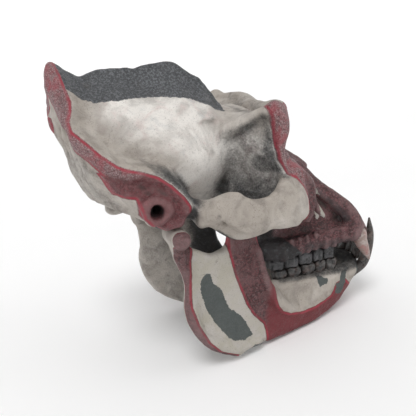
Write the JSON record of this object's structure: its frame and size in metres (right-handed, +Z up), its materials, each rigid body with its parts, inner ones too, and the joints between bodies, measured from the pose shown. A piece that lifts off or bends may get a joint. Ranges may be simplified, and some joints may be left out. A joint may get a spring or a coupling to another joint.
{
  "type": "gorilla skull",
  "caption": "Painted anatomical skull of a male gorilla; the lower jaw is hinged to the cranium and every bone and tooth is a separate piece.",
  "frame": {"origin": "on the floor, under the middle of the object's box, in the skull's mid-plane", "axes": "+X towards the snout, +Y towards the skull's left side, +Z up; the skull rests on the flat lower border of the jaw, its tooth rows tipped 7 degrees nose down"},
  "size_m": [0.28, 0.175, 0.2612],
  "materials": {
    "cranium_bone": "dry matt bone with worn red and dark grey paint",
    "mandible_bone": "dry matt bone with worn red and dark grey paint",
    "upper_teeth": "satin, stained nearly black",
    "lower_teeth": "satin, stained nearly black",
    "hinge_pins": "dull"
  },
  "bodies": {
    "jaw": {"mandible": "mandible_bone", "lower_incisor_1_right": "lower_teeth", "lower_incisor_1_left": "lower_teeth", "lower_incisor_2_right": "lower_teeth", "lower_incisor_2_left": "lower_teeth", "lower_canine_right": "lower_teeth", "lower_canine_left": "lower_teeth", "lower_premolar_1_right": "lower_teeth", "lower_premolar_1_left": "lower_teeth", "lower_premolar_2_right": "lower_teeth", "lower_premolar_2_left": "lower_teeth", "lower_molar_1_right": "lower_teeth", "lower_molar_1_left": "lower_teeth", "lower_molar_2_right": "lower_teeth", "lower_molar_2_left": "lower_teeth", "lower_molar_3_right": "lower_teeth", "lower_molar_3_left": "lower_teeth", "jaw_hinge_pin_right": "hinge_pins", "jaw_hinge_pin_left": "hinge_pins"},
    "cranium": {"frontal_bone": "cranium_bone", "parietal_right": "cranium_bone", "parietal_left": "cranium_bone", "occipital_bone": "cranium_bone", "temporal_right": "cranium_bone", "temporal_left": "cranium_bone", "sphenoid": "cranium_bone", "zygomatic_right": "cranium_bone", "zygomatic_left": "cranium_bone", "maxilla_right": "cranium_bone", "maxilla_left": "cranium_bone", "premaxilla": "cranium_bone", "nasal_bones": "cranium_bone", "palatine": "cranium_bone", "vomer": "cranium_bone", "upper_incisor_1_right": "upper_teeth", "upper_incisor_1_left": "upper_teeth", "upper_incisor_2_right": "upper_teeth", "upper_incisor_2_left": "upper_teeth", "upper_canine_right": "upper_teeth", "upper_canine_left": "upper_teeth", "upper_premolar_1_right": "upper_teeth", "upper_premolar_1_left": "upper_teeth", "upper_premolar_2_right": "upper_teeth", "upper_premolar_2_left": "upper_teeth", "upper_molar_1_right": "upper_teeth", "upper_molar_1_left": "upper_teeth", "upper_molar_2_right": "upper_teeth", "upper_molar_2_left": "upper_teeth", "upper_molar_3_right": "upper_teeth", "upper_molar_3_left": "upper_teeth"}
  },
  "joints": [
    {"name": "jaw_hinge", "type": "hinge", "parent": "jaw", "child": "cranium", "pos_m": [-0.06648, 0, 0.12], "axis": [0, -1, 0], "range_deg": [0, 35]}
  ]
}
